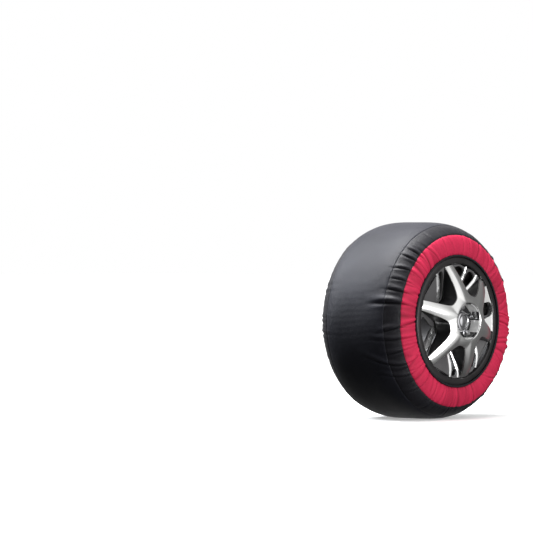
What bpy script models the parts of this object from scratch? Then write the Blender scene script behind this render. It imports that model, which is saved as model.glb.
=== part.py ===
"""A passenger-car wheel wearing a textile snow sock, modelled as separate pieces.

The axle lies along Y and the outboard face looks towards -Y. The tyre stands on the plane z = 0.
"Depth" below is the distance outboard from the tyre's middle plane, and "turn" is an angle seen from
outboard, counted anticlockwise from +X.
"""

import math

import bmesh
import bpy
from mathutils import Matrix, Vector

MM = 0.001
GAP = 0.3 * MM

# Sock outline: a superellipse round the tyre, from the crown (90 degrees) past the bulge (0 degrees).
OUTER_RADIUS = 320 * MM
HALF_WIDTH = 174.4 * MM
BULGE_RADIUS = 238 * MM
FLATNESS = 4 / 7
SOCK_THICKNESS = 4.5 * MM
TREAD_SEAM = 60
PANEL_SEAM = 34
OPENING = -15

# Standing height: the sock is pressed flat where it meets the ground.
AXLE_HEIGHT = 316.5 * MM
HUB_FRONT = 222 * MM
MIDDLE_Y = (HUB_FRONT - HALF_WIDTH) / 2

# Tyre and rim.
TYRE_GAP = 0.5 * MM
TYRE_WALL = 9 * MM
SIDEWALL_SLACK = 1.5 * MM
FLANGE_RADIUS = 208 * MM
BEAD_RADIUS = 190.5 * MM
LIP_RADIUS = 187 * MM
SEAT_INNER_RADIUS = 185.2 * MM
WELL_RADIUS = 166 * MM
RIM_WALL = 6 * MM
LIP_DEPTH = 173 * MM

# Wheel centre.
HUB_BACK = 130 * MM
HUB_RADIUS = 76 * MM
BORE_RADIUS = 33 * MM
RECESS_RADIUS = 56 * MM
RECESS_FLOOR = 180 * MM
SPOKE_COUNT = 6
FIRST_SPOKE = 43
SPOKE_END = 184.6 * MM
SPOKE_WIDTHS = (58 * MM, 34 * MM)
SPOKE_BACK = 150 * MM
SPOKE_TIP_DEPTH = 171 * MM

# The slots of each window insert, from edge to edge: -1 is its clockwise edge and 1 the other one.
WINDOW_SLOTS = (
    ((-0.78, -0.12), (0.08, 0.8)),
    ((-0.88, -0.34),),
    ((-0.78, 0.34), (0.62, 0.88)),
    ((0.34, 0.88),),
    ((-0.8, -0.08), (0.12, 0.78)),
    ((-0.32, 0.22),),
)

# Fasteners, cap and valve.
BOLT_COUNT = 5
BOLT_CIRCLE = 46 * MM
BOLT_HOLE = 7 * MM
BOLT_SHANK = 6 * MM
BOLT_HEAD = 9.4 * MM
CAP_RADIUS = 35 * MM
VALVE_TURN = 13
VALVE_RADIUS = 178 * MM
VALVE_HOLE = 6 * MM
STEM_RADIUS = 5.5 * MM

SEGMENTS = 48


def clear_scene():
    for thing in list(bpy.data.objects):
        bpy.data.objects.remove(thing, do_unlink=True)


def material(name, colour, roughness, metallic=0.0):
    made = bpy.data.materials.new(name)
    made.use_nodes = True
    shader = made.node_tree.nodes["Principled BSDF"]
    shader.inputs["Base Color"].default_value = (*colour, 1.0)
    shader.inputs["Roughness"].default_value = roughness
    shader.inputs["Metallic"].default_value = metallic
    return made


def place(radius, depth, turn):
    """World point at a radius and depth, at an angle in degrees seen from outboard."""
    angle = math.radians(turn)
    return Vector((radius * math.cos(angle), MIDDLE_Y - depth, AXLE_HEIGHT + radius * math.sin(angle)))


def finish(bm, name, finish_material, parent):
    bmesh.ops.remove_doubles(bm, verts=bm.verts, dist=0.00001)
    bmesh.ops.recalc_face_normals(bm, faces=bm.faces)
    mesh = bpy.data.meshes.new(name)
    bm.to_mesh(mesh)
    bm.free()
    mesh.materials.append(finish_material)
    mesh.shade_smooth()
    mesh.set_sharp_from_angle(angle=math.radians(35))
    made = bpy.data.objects.new(name, mesh)
    bpy.context.scene.collection.objects.link(made)
    made.parent = parent
    return made


def ring(name, section, finish_material, parent, segments=SEGMENTS):
    """Turn a closed section of (radius, depth) corners once round the axle."""
    bm = bmesh.new()
    corners = [bm.verts.new(place(radius, depth, -90)) for radius, depth in section]
    edges = [bm.edges.new((corners[i], corners[(i + 1) % len(corners)])) for i in range(len(corners))]
    bmesh.ops.spin(
        bm,
        geom=corners + edges,
        cent=place(0, 0, 0),
        axis=(0, 1, 0),
        angle=math.tau,
        steps=segments,
        use_merge=True,
    )
    return finish(bm, name, finish_material, parent)


def turned(name, section, centre, finish_material, parent, segments=16, phase=0.0):
    """Turn an open outline of (radius, depth) corners, which starts and ends on its own axis along Y."""
    bm = bmesh.new()
    base = Vector((centre.x, MIDDLE_Y, centre.z))
    loops = []
    for radius, depth in section:
        loop = []
        for i in range(segments if radius > 0 else 1):
            angle = math.tau * (i + phase) / segments
            offset = Vector((radius * math.cos(angle), -depth, radius * math.sin(angle)))
            loop.append(bm.verts.new(base + offset))
        loops.append(loop)
    for first, second in zip(loops, loops[1:]):
        for i in range(segments):
            quad = [first[i % len(first)], first[(i + 1) % len(first)]]
            quad += [second[(i + 1) % len(second)], second[i % len(second)]]
            bm.faces.new(list(dict.fromkeys(quad)))
    return finish(bm, name, finish_material, parent)


def loft(bm, sections):
    """Skin a row of closed sections that have the same number of corners, and cap both ends."""
    loops = [[bm.verts.new(point) for point in section] for section in sections]
    count = len(loops[0])
    for first, second in zip(loops, loops[1:]):
        for i in range(count):
            bm.faces.new((first[i], first[(i + 1) % count], second[(i + 1) % count], second[i]))
    bm.faces.new(loops[0])
    bm.faces.new(loops[-1])


def combine(target, tool, operation):
    modifier = target.modifiers.new(operation.lower(), "BOOLEAN")
    modifier.operation = operation
    modifier.object = tool
    modifier.solver = "EXACT"
    tool.hide_render = True
    tool.display_type = "WIRE"


def sock_point(turn_in_section, inset=0.0):
    """(radius, depth) on the sock's outline, or that far inside it, at a section angle in degrees."""

    def outline(angle):
        across = max(math.cos(math.radians(angle)), 0.0) ** FLATNESS
        rise = math.sin(math.radians(angle))
        return Vector((BULGE_RADIUS + (OUTER_RADIUS - BULGE_RADIUS) * rise, HALF_WIDTH * across))

    here = outline(turn_in_section)
    if inset == 0.0:
        return here
    if turn_in_section >= 89.9:
        return Vector((here.x - inset, 0.0))
    tangent = outline(turn_in_section + 0.05) - outline(turn_in_section - 0.05)
    inward = Vector((tangent.y, -tangent.x)).normalized()
    if inward.x > 0 and turn_in_section > 20:
        inward = -inward
    if inward.y > 0 and turn_in_section <= 20:
        inward = -inward
    return here + inward * inset


def sock_section(angles, side=1):
    """Closed section of one sock panel, between two concentric outlines."""
    outer = [sock_point(angle) for angle in angles]
    inner = [sock_point(angle, SOCK_THICKNESS) for angle in reversed(angles)]
    return [(point.x, point.y * side) for point in outer + inner]


def flatten_under(made, level=0.0):
    """Press the lowest corners up to the ground plane, which makes the contact patch."""
    for vertex in made.data.vertices:
        vertex.co.z = max(vertex.co.z, level)


def sock_panels(parent):
    tread_fabric = material("tread_fabric", (0.02, 0.02, 0.024), 0.55)
    shoulder_fabric = material("shoulder_fabric", (0.018, 0.018, 0.021), 0.6)
    red_fabric = material("red_fabric", (0.55, 0.03, 0.075), 0.7)
    tape = material("seam_tape", (0.015, 0.015, 0.017), 0.7)
    elastic = material("elastic", (0.03, 0.03, 0.032), 0.8)

    half = [TREAD_SEAM, 67, 76, 84]
    outboard = [sock_point(angle) for angle in half]
    inboard = [Vector((p.x, -p.y)) for p in reversed(outboard)]
    crown = outboard + [sock_point(90)] + inboard
    lining = [sock_point(angle, SOCK_THICKNESS) for angle in half]
    mirrored = [Vector((p.x, -p.y)) for p in reversed(lining)]
    under = list(reversed(lining + [sock_point(90, SOCK_THICKNESS)] + mirrored))
    band = ring("sock_tread_band", [tuple(p) for p in crown + under], tread_fabric, parent)
    flatten_under(band)

    step = 0.2
    for side, label in ((1, "outer"), (-1, "inner")):
        shoulder = sock_section([TREAD_SEAM - step, 51, 42, PANEL_SEAM + step], side)
        ring(f"sock_{label}_shoulder", shoulder, shoulder_fabric, parent)
        panel_fabric = red_fabric if side == 1 else shoulder_fabric
        panel = sock_section([PANEL_SEAM - step, 22, 10, -4, OPENING], side)
        ring(f"sock_{label}_side_panel", panel, panel_fabric, parent)
        seam_tape(f"sock_{label}_tread_seam_tape", TREAD_SEAM, side, tape, parent)
        seam_tape(f"sock_{label}_panel_seam_tape", PANEL_SEAM, side, tape, parent)
        hem(label, side, tape, elastic, parent)


def seam_tape(name, angle, side, tape, parent):
    """A flat binding, 6 mm wide, that covers a seam from outside."""
    spread = 1.3 if angle < 50 else 1.6
    lift, top = -0.35 * MM, -1.15 * MM
    section = [sock_point(angle - spread, lift), sock_point(angle + spread, lift)]
    section += [sock_point(angle + spread, top), sock_point(angle - spread, top)]
    ring(name, [(p.x, p.y * side) for p in section], tape, parent)


def hem(label, side, casing, elastic, parent):
    """The hem is a casing folded over the elastic, open on its inboard side where it is sewn down."""
    centre = Vector((212.7 * MM, 168.3 * MM))
    outside, inside = 3.5 * MM, 2.7 * MM
    corners = [(-outside, -outside), (-outside, outside), (outside, outside), (outside, -outside)]
    corners += [(inside, -outside), (inside, inside), (-inside, inside), (-inside, -outside)]
    section = [(centre.x + across, (centre.y + along) * side) for across, along in corners]
    ring(f"sock_{label}_hem", section, casing, parent)
    cord = inside - GAP
    strip = [(-cord, -outside), (-cord, cord), (cord, cord), (cord, -outside)]
    section = [(centre.x + across, (centre.y + along) * side) for across, along in strip]
    ring(f"sock_{label}_elastic", section, elastic, parent)


def tyre(parent):
    rubber = material("tyre_rubber", (0.02, 0.02, 0.02), 0.8)
    inset = SOCK_THICKNESS + TYRE_GAP
    outer = [sock_point(angle, inset) for angle in (76, 60)]
    outer += [sock_point(angle, inset + SIDEWALL_SLACK) for angle in (42, 22, 6, -8)]
    bead = [Vector((206 * MM, 158 * MM)), Vector((BEAD_RADIUS + 0.5 * MM, 158 * MM))]
    bead += [Vector((BEAD_RADIUS + 0.5 * MM, 140 * MM)), Vector((206 * MM, 145 * MM))]
    inner = [sock_point(angle, inset + TYRE_WALL) for angle in (0, 40, 60)]
    half = outer + bead + inner
    crown = sock_point(90, inset)
    lining = sock_point(90, inset + TYRE_WALL)
    mirrored = [Vector((p.x, -p.y)) for p in reversed(half)]
    ring("tyre", [tuple(p) for p in [crown] + half + [lining] + mirrored], rubber, parent)


def rim_barrel(parent):
    """The barrel: flanges, bead seats and drop well, and the hole for the valve."""
    dark_metal = material("dark_rim_metal", (0.045, 0.04, 0.042), 0.45, 0.5)
    top = WELL_RADIUS + RIM_WALL
    tyre_side = [(top, -60), (BEAD_RADIUS, -138), (BEAD_RADIUS, -160), (FLANGE_RADIUS, -164)]
    tyre_side = [(FLANGE_RADIUS, 164), (BEAD_RADIUS, 160), (BEAD_RADIUS, 138), (top, 112)] + tyre_side
    air_side = [(FLANGE_RADIUS - 1 * MM, -170), (SEAT_INNER_RADIUS, -166), (SEAT_INNER_RADIUS, -144)]
    air_side += [(WELL_RADIUS, -66), (WELL_RADIUS, 118), (SEAT_INNER_RADIUS, 146)]
    air_side += [(LIP_RADIUS, LIP_DEPTH / MM), (FLANGE_RADIUS - 3 * MM, 171)]
    section = [(radius, depth * MM) for radius, depth in tyre_side + air_side]
    barrel = ring("rim_barrel", section, dark_metal, parent)
    combine(barrel, valve_cutter("valve_hole_cutter", VALVE_HOLE, parent), "DIFFERENCE")


def valve_cutter(name, radius, parent):
    section = [(0, 100 * MM), (radius, 100 * MM), (radius, 160 * MM), (0, 160 * MM)]
    return turned(name, section, place(VALVE_RADIUS, 0, VALVE_TURN), None, parent)


def spoke(name, turn, parent):
    """One spoke, crowned across and rising from the rim to the hub."""
    bm = bmesh.new()
    sections = []
    steps = 6
    for i in range(steps):
        along = i / (steps - 1)
        radius = 68 * MM + (SPOKE_END - 68 * MM) * along
        half = (SPOKE_WIDTHS[0] + (SPOKE_WIDTHS[1] - SPOKE_WIDTHS[0]) * along**0.6) / 2
        front = spoke_front(radius)
        back = SPOKE_BACK + 6 * MM * along
        outline = [(-half, back), (half, back), (half, front - 9 * MM), (half * 0.55, front)]
        outline += [(-half * 0.55, front), (-half, front - 9 * MM)]
        spin = Matrix.Rotation(math.radians(-turn), 4, "Y")
        centre = place(0, 0, 0)
        points = [Vector((radius, -depth, across)) for across, depth in outline]
        sections.append([centre + spin @ point for point in points])
    loft(bm, sections)
    return finish(bm, name, None, parent)


def spoke_front(radius):
    """Depth of the wheel face at a radius: a dome that is highest at the hub."""
    along = max(0.0, (radius - RECESS_RADIUS) / (SPOKE_END - RECESS_RADIUS))
    return HUB_FRONT - 2 * MM - (HUB_FRONT - 2 * MM - SPOKE_TIP_DEPTH) * along**1.6


def wheel_centre(parent):
    """The hub with its recess, bolt holes and spokes, as one casting."""
    silver = material("silver_alloy", (0.75, 0.75, 0.76), 0.3, 0.9)
    shoulder = HUB_FRONT - 21 * MM
    section = [(BORE_RADIUS, HUB_BACK), (HUB_RADIUS - 1 * MM, HUB_BACK), (HUB_RADIUS + 5 * MM, shoulder)]
    section += [(HUB_RADIUS - 2 * MM, HUB_FRONT - 6 * MM), (RECESS_RADIUS + 4 * MM, HUB_FRONT)]
    section += [(RECESS_RADIUS, HUB_FRONT - 3 * MM), (RECESS_RADIUS, RECESS_FLOOR)]
    section += [(BORE_RADIUS, RECESS_FLOOR)]
    hub = ring("wheel_centre", section, silver, parent, 40)
    for i in range(SPOKE_COUNT):
        turn = FIRST_SPOKE + i * 360 / SPOKE_COUNT
        combine(hub, spoke(f"spoke_shape_{i + 1}", turn, parent), "UNION")
    for i in range(BOLT_COUNT):
        low, high = HUB_BACK - 10 * MM, RECESS_FLOOR + 5 * MM
        hole = [(0, low), (BOLT_HOLE, low), (BOLT_HOLE, high), (0, high)]
        cutter = turned(f"bolt_hole_cutter_{i + 1}", hole, bolt_place(i), None, parent)
        combine(hub, cutter, "DIFFERENCE")


def bolt_place(index):
    return place(BOLT_CIRCLE, 0, 90 + index * 360 / BOLT_COUNT)


def wheel_bolts(parent):
    steel = material("bolt_steel", (0.35, 0.35, 0.36), 0.35, 1.0)
    for i in range(BOLT_COUNT):
        seat = RECESS_FLOOR + GAP
        section = [(0, 112 * MM), (BOLT_SHANK, 112 * MM), (BOLT_SHANK, seat), (BOLT_HEAD, seat)]
        section += [(BOLT_HEAD, seat + 14 * MM), (BOLT_HEAD - 2 * MM, seat + 16 * MM), (0, seat + 16 * MM)]
        turned(f"wheel_bolt_{i + 1}", section, bolt_place(i), steel, parent, 12)


def window_insert(index, parent):
    """A dark web that fills a window between two spokes, with slots that are open to the brake side."""
    dark = material("insert_grey", (0.1, 0.095, 0.1), 0.4, 0.3)
    middle = FIRST_SPOKE + (index + 0.5) * 360 / SPOKE_COUNT
    radii = [96 * MM, 104 * MM, 122 * MM, 142 * MM, 162 * MM, 177 * MM, 184 * MM]
    columns = [-1.0] + [edge for slot in WINDOW_SLOTS[index] for edge in slot] + [1.0]
    slots = {(i, j) for i in range(1, len(columns) - 1, 2) for j in range(1, len(radii) - 2)}
    front, back = 160 * MM, 152 * MM
    bm = bmesh.new()
    grid = {}
    for i, column in enumerate(columns):
        for j, radius in enumerate(radii):
            half = half_window(radius)
            turn = middle + column * half
            grid[i, j] = [bm.verts.new(place(radius, depth, turn)) for depth in (front, back)]
    cells = {(i, j) for i in range(len(columns) - 1) for j in range(len(radii) - 1)} - slots
    for i, j in cells:
        corners = [grid[i, j], grid[i + 1, j], grid[i + 1, j + 1], grid[i, j + 1]]
        bm.faces.new([corner[0] for corner in corners])
        bm.faces.new([corner[1] for corner in reversed(corners)])
        beside = [(i, j - 1), (i + 1, j), (i, j + 1), (i - 1, j)]
        for side, neighbour in enumerate(beside):
            if neighbour not in cells:
                first, second = corners[side], corners[(side + 1) % 4]
                bm.faces.new((first[0], first[1], second[1], second[0]))
    bmesh.ops.delete(bm, geom=[v for v in bm.verts if not v.link_faces], context="VERTS")
    made = finish(bm, f"window_insert_{index + 1}", dark, parent)
    if abs(math.remainder(middle - VALVE_TURN, 360)) < 1:
        combine(made, valve_cutter("valve_notch_cutter", 9 * MM, parent), "DIFFERENCE")


def half_window(radius):
    """Half of the angle, in degrees, between the sides of two neighbouring spokes at a radius."""
    along = (radius - 68 * MM) / (SPOKE_END - 68 * MM)
    half_spoke = (SPOKE_WIDTHS[0] + (SPOKE_WIDTHS[1] - SPOKE_WIDTHS[0]) * along**0.6) / 2
    return 180 / SPOKE_COUNT - math.degrees(math.asin((half_spoke + 1.5 * MM) / radius))


def centre_cap(parent):
    plastic = material("cap_chrome", (0.8, 0.8, 0.82), 0.12, 1.0)
    inside = BORE_RADIUS - 0.6 * MM
    seat = RECESS_FLOOR + GAP
    back = RECESS_FLOOR - 18 * MM
    section = [(0, back), (inside, back), (inside, seat), (CAP_RADIUS, seat)]
    section += [(CAP_RADIUS, seat + 6 * MM), (CAP_RADIUS - 5 * MM, seat + 14 * MM)]
    section += [(16 * MM, seat + 19 * MM), (0, seat + 20 * MM)]
    turned("centre_cap", section, place(0, 0, 0), plastic, parent, 32)


def centring_ring(parent):
    nylon = material("ring_nylon", (0.3, 0.3, 0.31), 0.6)
    outside = BORE_RADIUS - GAP
    section = [(outside, HUB_BACK + GAP), (outside, 142 * MM), (28.5 * MM, 142 * MM)]
    section += [(28.5 * MM, HUB_BACK + GAP)]
    ring("centring_ring", section, nylon, parent, 40)


def valve(stem_parent, core_parent, cap_parent):
    rubber = material("valve_rubber", (0.02, 0.02, 0.02), 0.6)
    brass = material("valve_brass", (0.6, 0.45, 0.2), 0.35, 1.0)
    plastic = material("valve_cap_plastic", (0.02, 0.02, 0.022), 0.4)
    centre = place(VALVE_RADIUS, 0, VALVE_TURN)
    bore = 2.2 * MM
    tip = 164 * MM
    stem = [(0, 104 * MM), (STEM_RADIUS, 104 * MM), (STEM_RADIUS, 152 * MM), (3.9 * MM, 154 * MM)]
    stem += [(3.9 * MM, tip), (bore, tip), (bore, 140 * MM), (0, 140 * MM)]
    turned("valve_stem", stem, centre, rubber, stem_parent, 12)
    core = [(0, 142.5 * MM), (1.6 * MM, 142.5 * MM), (1.6 * MM, tip - 1 * MM), (0, tip - 1 * MM)]
    turned("valve_core", core, centre, brass, core_parent, 8)
    inside = 3.9 * MM + GAP
    cap = [(0, tip + 1.5 * MM), (inside, tip + 1.5 * MM), (inside, 156 * MM), (6 * MM, 156 * MM)]
    cap += [(6 * MM, 167 * MM), (4.6 * MM, 169 * MM), (0, 169 * MM)]
    turned("valve_cap", cap, centre, plastic, cap_parent, 12)


def balance_weight(parent):
    """An adhesive weight inside the barrel, bent to the wall."""
    zinc = material("weight_zinc", (0.45, 0.45, 0.46), 0.5, 0.8)
    bm = bmesh.new()
    outer, inner = WELL_RADIUS - 1 * MM, WELL_RADIUS - 6 * MM
    sections = []
    for i in range(7):
        turn = 205 + i * 3.5
        corners = [(outer, 30 * MM), (outer, 50 * MM), (inner, 50 * MM), (inner, 30 * MM)]
        sections.append([place(radius, depth, turn) for radius, depth in corners])
    loft(bm, sections)
    finish(bm, "balance_weight", zinc, parent)


def pivot(name, place_at):
    made = bpy.data.objects.new(name, None)
    made.location = place_at
    bpy.context.scene.collection.objects.link(made)
    return made


def main():
    clear_scene()
    wheel_body = pivot("wheel_body", (0, 0, 0))
    sock_body = pivot("sock_body", (0, 0, 0))
    cap_body = pivot("centre_cap_body", (0, 0, 0))
    valve_core_body = pivot("valve_core_body", (0, 0, 0))
    valve_cap_body = pivot("valve_cap_body", (0, 0, 0))
    sock_panels(sock_body)
    tyre(wheel_body)
    rim_barrel(wheel_body)
    wheel_centre(wheel_body)
    for index in range(SPOKE_COUNT):
        window_insert(index, wheel_body)
    wheel_bolts(wheel_body)
    centring_ring(wheel_body)
    balance_weight(wheel_body)
    centre_cap(cap_body)
    valve(wheel_body, valve_core_body, valve_cap_body)


main()
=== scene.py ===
"""Looks of a car wheel in a textile snow sock: gathered cloth, spoked alloy wheel, studio.

The axle lies along Y and the outboard face looks towards -Y. "Depth" is the distance outboard from the
tyre's middle plane, "turn" is an angle in degrees seen from outboard, anticlockwise from +X, and
"section" is an angle round the tyre's section, from the crown (90) past the bulge (0) to the opening.
"""

import math

import bmesh
import bpy
import numpy as np
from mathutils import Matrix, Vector


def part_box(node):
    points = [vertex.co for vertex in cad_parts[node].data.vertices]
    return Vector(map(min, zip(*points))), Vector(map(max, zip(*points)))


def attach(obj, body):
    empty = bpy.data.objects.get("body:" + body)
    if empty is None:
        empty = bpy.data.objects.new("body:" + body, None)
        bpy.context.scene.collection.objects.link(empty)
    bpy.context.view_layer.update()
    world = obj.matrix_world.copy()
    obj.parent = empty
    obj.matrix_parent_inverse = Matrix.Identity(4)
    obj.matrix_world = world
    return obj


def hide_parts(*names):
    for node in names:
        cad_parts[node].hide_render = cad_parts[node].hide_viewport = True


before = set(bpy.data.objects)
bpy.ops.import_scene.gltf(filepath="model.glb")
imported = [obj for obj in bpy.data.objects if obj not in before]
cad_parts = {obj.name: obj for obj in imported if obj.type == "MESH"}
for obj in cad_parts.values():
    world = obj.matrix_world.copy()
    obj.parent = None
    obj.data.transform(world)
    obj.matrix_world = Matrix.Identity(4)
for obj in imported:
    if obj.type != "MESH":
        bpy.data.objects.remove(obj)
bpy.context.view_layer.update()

MM = 0.001

# The frame's own sizes. The barrel's outer lip is a little longer than its back flange.
LIP_EXTRA = 3 * MM
tread_low, tread_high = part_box("sock_tread_band")
rim_low, rim_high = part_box("rim_barrel")
OUTER_RADIUS = (tread_high.x - tread_low.x) / 2
MIDDLE_Y = (rim_low.y + rim_high.y + LIP_EXTRA) / 2
AXLE_HEIGHT = (rim_low.z + rim_high.z) / 2

# Sock section.
HALF_WIDTH = 174.4 * MM
BULGE_RADIUS = 238 * MM
FLATNESS = 4 / 7
TREAD_SEAM = 60
PANEL_SEAM = 29.5
OPENING = -17.5
CLOTH = 1.2 * MM
HEM_RADIUS = 211.1 * MM
HEM_DEPTH = 172.1 * MM

# Wheel.
FLANGE_RADIUS = 208 * MM
LIP_RADIUS = 187 * MM
LIP_DEPTH = 173 * MM
SEAT_RADIUS = 185.2 * MM
WELL_RADIUS = 166 * MM
SPOKES = 6
FIRST_SPOKE = 43
SPOKE_END = 184.6 * MM
SPOKE_BACK = 150 * MM
SPOKE_ROOT = 68 * MM
SPOKE_ROOT_WIDTH = 58 * MM
SPOKE_NARROWING = 24 * MM
SPOKE_END_DEPTH = 171 * MM
HUB_FRONT = 222 * MM
RECESS_RADIUS = 56 * MM
RECESS_FLOOR = 180 * MM
BORE_RADIUS = 33 * MM
HUB_BACK = 130 * MM
BOLT_CIRCLE = 46 * MM
BOLTS = 5
POCKET_CIRCLE = BOLT_CIRCLE + 3.5 * MM
POCKET_RADIUS = 14 * MM
VALVE_TURN = 13
VALVE_RADIUS = 178 * MM

# Camera: angles in degrees, distance in metres, lens and sensor in millimetres. The azimuth and elevation
# are the photograph's; pan and tilt leave the wheel low at the right, where the photograph has it.
VIEW_AZIMUTH = -50.6
VIEW_ELEVATION = 1.2
VIEW_DISTANCE = 9.684
VIEW_PAN = 2.9
VIEW_TILT = 1.041
VIEW_LENS = 200
SENSOR = 36


def place(radius, depth, turn):
    """World points at a radius, depth and turn; numbers or arrays."""
    angle = np.radians(turn)
    radius, depth, angle = np.broadcast_arrays(radius, depth, angle)
    across = radius * np.cos(angle)
    up = AXLE_HEIGHT + radius * np.sin(angle)
    return np.stack([across, MIDDLE_Y - depth, up], axis=-1)


def spot(radius, depth, turn):
    return Vector(place(radius, depth, turn))


def in_mm(*corners, base=0.0):
    """(radius, depth) corners given in millimetres, with their depths counted from a base."""
    return [(radius * MM, base + depth * MM) for radius, depth in corners]


# -------- materials


def new_material(name, colour, roughness, metallic=0.0):
    made = bpy.data.materials.new(name)
    made.use_nodes = True
    shader = made.node_tree.nodes["Principled BSDF"]
    shader.inputs["Base Color"].default_value = (*colour, 1.0)
    shader.inputs["Roughness"].default_value = roughness
    shader.inputs["Metallic"].default_value = metallic
    return made, made.node_tree, shader


def maths(tree, operation, first, second=None, third=None):
    made = tree.nodes.new("ShaderNodeMath")
    made.operation = operation
    for socket, value in zip(made.inputs, (first, second, third)):
        if value is None:
            continue
        if isinstance(value, (int, float)):
            socket.default_value = value
        else:
            tree.links.new(value, socket)
    return made.outputs[0]


def noise(tree, scale, detail, roughness=0.5):
    made = tree.nodes.new("ShaderNodeTexNoise")
    made.inputs["Scale"].default_value = scale
    made.inputs["Detail"].default_value = detail
    made.inputs["Roughness"].default_value = roughness
    where = tree.nodes.new("ShaderNodeTexCoord").outputs["Object"]
    tree.links.new(where, made.inputs["Vector"])
    return made.outputs[0]


def ramp(tree, value, stops):
    made = tree.nodes.new("ShaderNodeValToRGB")
    elements = made.color_ramp.elements
    while len(elements) < len(stops):
        elements.new(0.5)
    for element, (position, colour) in zip(elements, stops):
        element.position = position
        element.color = (*colour, 1.0)
    tree.links.new(value, made.inputs[0])
    return made.outputs[0]


def bump(tree, shader, heights):
    """Bumps of given (height, distance in metres, strength), one on another."""
    normal = None
    for height, distance, strength in heights:
        made = tree.nodes.new("ShaderNodeBump")
        made.inputs["Distance"].default_value = distance
        made.inputs["Strength"].default_value = strength
        tree.links.new(height, made.inputs["Height"])
        if normal is not None:
            tree.links.new(normal, made.inputs["Normal"])
        normal = made.outputs[0]
    tree.links.new(normal, shader.inputs["Normal"])


def attribute(tree, name):
    made = tree.nodes.new("ShaderNodeAttribute")
    made.attribute_name = name
    return made.outputs["Fac"]


def turn_value(tree):
    """The angle round the axle in radians, from the piece's own coordinates."""
    where = tree.nodes.new("ShaderNodeTexCoord").outputs["Object"]
    parts = tree.nodes.new("ShaderNodeSeparateXYZ")
    tree.links.new(where, parts.inputs[0])
    height = maths(tree, "SUBTRACT", parts.outputs["Z"], AXLE_HEIGHT)
    return maths(tree, "ARCTAN2", height, parts.outputs["X"])


def waves(tree, value, per_unit):
    """A smooth 0 to 1 wave with that many periods per unit of value."""
    phase = maths(tree, "MULTIPLY", value, per_unit * math.tau)
    return maths(tree, "MULTIPLY_ADD", maths(tree, "SINE", phase), 0.5, 0.5)


def cloth_material(name, dark, light, roughness, threads, sheen, ribs=None, painted_fold_shade_depth=0.5):
    """Woven cloth: yarns both ways, colour that varies, and painted shade that is darker in the creases and
    lighter on the ridges.

    threads is the number of yarns round the whole turn, and ribs is the number of raised ribs.
    """
    made, tree, shader = new_material(name, light, roughness)
    turn = turn_value(tree)
    along = attribute(tree, "along")
    warp = waves(tree, turn, threads / math.tau)
    weft = waves(tree, along, threads / (math.tau * OUTER_RADIUS))
    weave = maths(tree, "MULTIPLY", warp, weft)
    fuzz = noise(tree, 900.0, 2.0)
    patches = noise(tree, 9.0, 4.0)
    # Painted shade and highlight: the relief stored on the mesh darkens the folds' valleys and lightens
    # their ridges.
    painted_fold_shade = attribute(tree, "painted_fold_shade")
    shade = maths(tree, "MULTIPLY_ADD", patches, 0.5, 0.3)
    shade = maths(tree, "MULTIPLY_ADD", weave, 0.14, shade)
    shade = maths(tree, "MULTIPLY_ADD", painted_fold_shade, painted_fold_shade_depth, shade)
    colour = ramp(tree, shade, [(0.0, dark), (0.75, light)])
    tree.links.new(colour, shader.inputs["Base Color"])
    rough = maths(tree, "MULTIPLY_ADD", fuzz, 0.2, roughness - 0.1)
    tree.links.new(rough, shader.inputs["Roughness"])
    shader.inputs["Sheen Weight"].default_value = sheen
    shader.inputs["Sheen Roughness"].default_value = 0.45
    shader.inputs["Specular IOR Level"].default_value = 0.17
    shader.inputs["Sheen Tint"].default_value = (*[min(1.0, c * 3 + 0.1) for c in light], 1.0)
    heights = [(weave, 0.00025, 0.5), (fuzz, 0.0002, 0.25), (patches, 0.002, 0.15)]
    if ribs:
        heights.insert(0, (waves(tree, turn, ribs / math.tau), 0.0005, 0.5))
    bump(tree, shader, heights)
    return made


def metal_material(name, dark, light, roughness, metallic, grain, coat=0.0):
    """Painted or polished metal with faint cloudiness, orange peel and scuffs."""
    made, tree, shader = new_material(name, light, roughness, metallic)
    cloud = noise(tree, 12.0, 5.0)
    fine = noise(tree, grain * 20, 3.0)
    scuff = noise(tree, grain, 8.0, roughness=0.7)
    colour = ramp(tree, cloud, [(0.25, dark), (0.7, light)])
    tree.links.new(colour, shader.inputs["Base Color"])
    rough = maths(tree, "MULTIPLY_ADD", scuff, 0.08, roughness - 0.04)
    tree.links.new(rough, shader.inputs["Roughness"])
    shader.inputs["Coat Weight"].default_value = coat
    shader.inputs["Coat Roughness"].default_value = 0.08
    bump(tree, shader, [(fine, 0.00003, 0.08), (scuff, 0.0001, 0.02)])
    return made


def rubber_material(name, colour, roughness):
    made, tree, shader = new_material(name, colour, roughness)
    grime = noise(tree, 30.0, 6.0)
    light = [c * 1.8 + 0.006 for c in colour]
    tree.links.new(ramp(tree, grime, [(0.3, colour), (0.75, light)]), shader.inputs["Base Color"])
    bump(tree, shader, [(noise(tree, 1400.0, 2.0), 0.0001, 0.4), (grime, 0.0008, 0.2)])
    return made


# -------- mesh helpers


def add_object(name, data):
    made = bpy.data.objects.new(name, data)
    bpy.context.scene.collection.objects.link(made)
    return made


def dressed(name, mesh, surface, body, smooth_angle):
    """The mesh as an object that rides on a body, with a material and smooth shading up to an angle."""
    mesh.materials.append(surface)
    mesh.shade_smooth()
    if smooth_angle < 180:
        mesh.set_sharp_from_angle(angle=math.radians(smooth_angle))
    made = add_object(name, mesh)
    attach(made, body)
    return made


def make_object(bm, name, surface, body, smooth_angle):
    bmesh.ops.recalc_face_normals(bm, faces=bm.faces)
    mesh = bpy.data.meshes.new(name)
    bm.to_mesh(mesh)
    bm.free()
    return dressed(name, mesh, surface, body, smooth_angle)


def outward(mesh):
    """Point every face of a closed mesh outwards."""
    bm = bmesh.new()
    bm.from_mesh(mesh)
    bmesh.ops.recalc_face_normals(bm, faces=bm.faces)
    bm.to_mesh(mesh)
    bm.free()


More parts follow.
